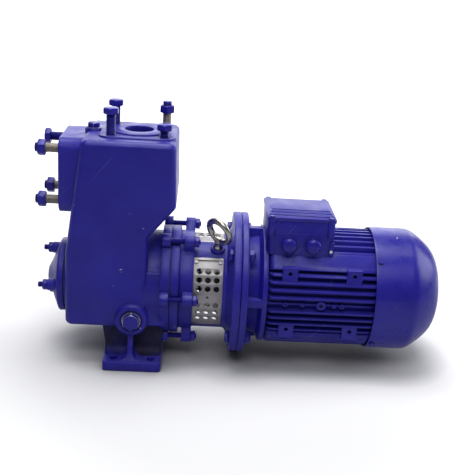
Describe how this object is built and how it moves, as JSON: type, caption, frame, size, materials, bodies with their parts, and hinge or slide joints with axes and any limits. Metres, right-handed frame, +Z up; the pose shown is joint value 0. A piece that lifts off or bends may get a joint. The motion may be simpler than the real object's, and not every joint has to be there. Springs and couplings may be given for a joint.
{
  "type": "self-priming centrifugal pump",
  "caption": "Close-coupled self-priming pump: tall priming casing with flanged inlet and outlet, foot, guarded motor bracket and finned flange motor.",
  "frame": {"origin": "middle of the four holes of the foot, on the foot's underside", "axes": "+X along the shaft from the pump to the motor, +Z up"},
  "size_m": [0.7055, 0.25, 0.4434],
  "materials": {
    "casing_paint": "satin",
    "motor_paint": "satin paint",
    "cover_paint": "satin",
    "zinc_steel": "zinc plated",
    "stainless": "rolled",
    "thread_steel": "dull",
    "gasket_fibre": "matte",
    "seal_ceramic": "ground",
    "cast_inner": "cast",
    "core_steel": "laminated",
    "copper": "varnished",
    "bearing_steel": "ground",
    "board_plastic": "moulded",
    "plug_plastic": "satin",
    "fan_plastic": "moulded"
  },
  "bodies": {
    "pump_frame": {"pump_casing": "casing_paint", "drain_plug": "casing_paint", "filler_plug": "casing_paint", "motor_bracket": "casing_paint", "eyebolt": "zinc_steel", "motor_shield": "motor_paint", "motor_housing": "motor_paint", "rear_shield": "motor_paint", "fan_cover": "cover_paint", "fan_cover_screws": "cover_paint", "terminal_box": "motor_paint", "terminal_lid": "motor_paint", "lid_screws": "cover_paint", "terminal_board": "board_plastic", "entry_plugs": "plug_plastic", "suction_studs": "thread_steel", "suction_nuts": "cover_paint", "suction_bolt": "cover_paint", "discharge_bolts": "cover_paint", "discharge_stud": "thread_steel", "discharge_nut": "cover_paint", "cleaning_cover": "casing_paint", "cleaning_cover_gasket": "gasket_fibre", "cleaning_cover_studs": "cover_paint", "cleaning_cover_nuts": "cover_paint", "casing_cover": "casing_paint", "casing_gasket": "gasket_fibre", "seal_seat": "seal_ceramic", "wear_plate": "cast_inner", "casing_studs": "cover_paint", "casing_nuts": "cover_paint", "guard_near": "stainless", "guard_bottom": "stainless", "guard_top": "stainless", "flange_bolts": "cover_paint", "flange_nuts": "cover_paint", "stator_core": "core_steel", "stator_windings": "copper", "front_bearing_outer": "bearing_steel", "rear_bearing_outer": "bearing_steel"},
    "rotor": {"motor_shaft": "bearing_steel", "rotor_core": "core_steel", "pump_shaft": "stainless", "impeller": "cast_inner", "impeller_nut": "stainless", "seal_head": "stainless", "cooling_fan": "fan_plastic", "front_bearing_inner": "bearing_steel", "rear_bearing_inner": "bearing_steel"}
  },
  "joints": [
    {"name": "shaft_spin", "type": "hinge", "parent": "pump_frame", "child": "rotor", "pos_m": [0.2, 0, 0.132], "axis": [1, 0, 0], "continuous": true}
  ]
}
